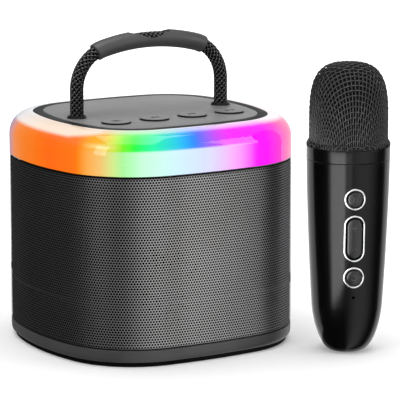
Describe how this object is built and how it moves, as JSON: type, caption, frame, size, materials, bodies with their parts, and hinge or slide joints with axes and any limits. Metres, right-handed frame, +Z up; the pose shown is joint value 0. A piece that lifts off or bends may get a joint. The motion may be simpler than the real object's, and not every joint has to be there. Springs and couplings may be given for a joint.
{
  "type": "portable karaoke speaker",
  "caption": "Rounded box speaker with a lit colour band, perforated sleeve, folding cord handle and top keys, and a handheld microphone that stands beside it.",
  "frame": {"origin": "centre of the speaker's base, on the surface that it stands on", "axes": "+Z up, -Y out of the speaker's front, +X along the row of top keys towards the microphone"},
  "size_m": [0.1514, 0.1581, 0.1521],
  "materials": {
    "rubber_black": "matt black rubber",
    "base_grey": "satin dark grey moulding",
    "steel": "zinc plated steel",
    "grille_metal": "perforated metal sleeve, painted charcoal",
    "box_black": "black moulding",
    "magnet_grey": "dark grey coated magnet and plates",
    "spider_cloth": "impregnated cloth",
    "cone_paper": "coated paper",
    "copper": "enamelled copper winding",
    "light_clear": "clear moulding, lit from inside in bands of colour",
    "white_plastic": "white reflector",
    "board_white": "white circuit board",
    "led_lens": "colour lights",
    "trim_gloss": "dark gloss trim",
    "panel_grey": "satin grey panel",
    "button_grey": "satin grey keys with pale signs",
    "cord_braid": "black braided cord with light flecks",
    "grip_grey": "matt dark grey moulding",
    "board_green": "green circuit board",
    "chip_black": "moulded parts",
    "cell_blue": "shrink wrapped cell",
    "lead_red": "insulated leads",
    "mic_gloss": "gloss black moulding",
    "mic_mesh": "black woven wire",
    "foam_black": "black foam",
    "ring_bright": "bright ring"
  },
  "bodies": {
    "root": {"foot_ring": "rubber_black", "base_cover": "base_grey", "base_screws": "steel", "grille_sleeve": "grille_metal", "enclosure": "box_black", "enclosure_back": "box_black", "driver_basket": "box_black", "driver_magnet": "magnet_grey", "driver_spider": "spider_cloth", "driver_surround": "rubber_black", "driver_screws": "steel", "light_band": "light_clear", "light_frame": "white_plastic", "led_board": "board_white", "leds": "led_lens", "top_trim": "trim_gloss", "top_panel": "panel_grey", "panel_screws": "steel", "socket_left": "box_black", "socket_right": "box_black", "cord_end_left": "cord_braid", "cord_end_right": "cord_braid", "port_plate": "box_black", "usb_c_port": "steel", "aux_jack": "box_black", "card_slot": "steel", "port_board": "board_green", "button_board": "board_green", "tact_switches": "box_black", "main_board": "board_green", "board_parts": "chip_black", "battery_holder": "box_black", "battery_cell": "cell_blue", "speaker_leads": "lead_red", "battery_leads": "lead_red"},
    "cone": {"driver_cone": "cone_paper", "dust_cap": "cone_paper", "voice_coil": "copper"},
    "button_mode": {"button_mode": "button_grey"},
    "button_down": {"button_down": "button_grey"},
    "button_up": {"button_up": "button_grey"},
    "button_play": {"button_play": "button_grey"},
    "handle": {"handle_cord": "cord_braid", "handle_grip": "grip_grey"},
    "microphone": {"mic_barrel": "mic_gloss", "mic_collar": "mic_gloss", "mic_rim": "mic_gloss", "mic_head": "mic_mesh", "mic_foam": "foam_black", "mic_capsule": "steel", "mic_capsule_cup": "box_black", "mic_key_rings": "ring_bright", "mic_board": "board_green", "mic_switches": "box_black", "mic_battery": "cell_blue", "mic_usb_port": "steel", "mic_foot": "box_black"},
    "mic_key_top": {"mic_key_top": "mic_gloss"},
    "mic_rocker": {"mic_rocker": "mic_gloss"},
    "mic_key_bottom": {"mic_key_bottom": "mic_gloss"}
  },
  "joints": [
    {"name": "cone_stroke", "type": "slide", "parent": "root", "child": "cone", "axis": [0, -1, 0], "range_m": [-0.0008, 0.0008], "stiffness_N_per_m": 1200, "deforming": ["driver_surround", "driver_spider"]},
    {"name": "button_mode_press", "type": "slide", "parent": "root", "child": "button_mode", "axis": [0, 0, -1], "range_m": [0, 0.0007], "stiffness_N_per_m": 500, "springref_m": -0.001},
    {"name": "button_down_press", "type": "slide", "parent": "root", "child": "button_down", "axis": [0, 0, -1], "range_m": [0, 0.0007], "stiffness_N_per_m": 500, "springref_m": -0.001},
    {"name": "button_up_press", "type": "slide", "parent": "root", "child": "button_up", "axis": [0, 0, -1], "range_m": [0, 0.0007], "stiffness_N_per_m": 500, "springref_m": -0.001},
    {"name": "button_play_press", "type": "slide", "parent": "root", "child": "button_play", "axis": [0, 0, -1], "range_m": [0, 0.0007], "stiffness_N_per_m": 500, "springref_m": -0.001},
    {"name": "handle_fold", "type": "hinge", "parent": "root", "child": "handle", "pos_m": [0, 0, 0.1185], "axis": [1, 0, 0], "range_deg": [-82, 82]},
    {"name": "microphone_lift", "type": "slide", "parent": "root", "child": "microphone", "axis": [0, 0, 1], "range_m": [0, 0.16]},
    {"name": "mic_key_top_press", "type": "slide", "parent": "microphone", "child": "mic_key_top", "axis": [0.4067, 0.9135, 0], "range_m": [0, 0.0006], "stiffness_N_per_m": 400, "springref_m": -0.001},
    {"name": "mic_rocker_tip", "type": "hinge", "parent": "microphone", "child": "mic_rocker", "pos_m": [0.06012, -0.08946, 0.0585], "axis": [0.9135, -0.4067, 0], "range_deg": [-3, 3], "stiffness_Nm_per_rad": 0.02},
    {"name": "mic_key_bottom_press", "type": "slide", "parent": "microphone", "child": "mic_key_bottom", "axis": [0.4067, 0.9135, 0], "range_m": [0, 0.0006], "stiffness_N_per_m": 400, "springref_m": -0.001}
  ]
}
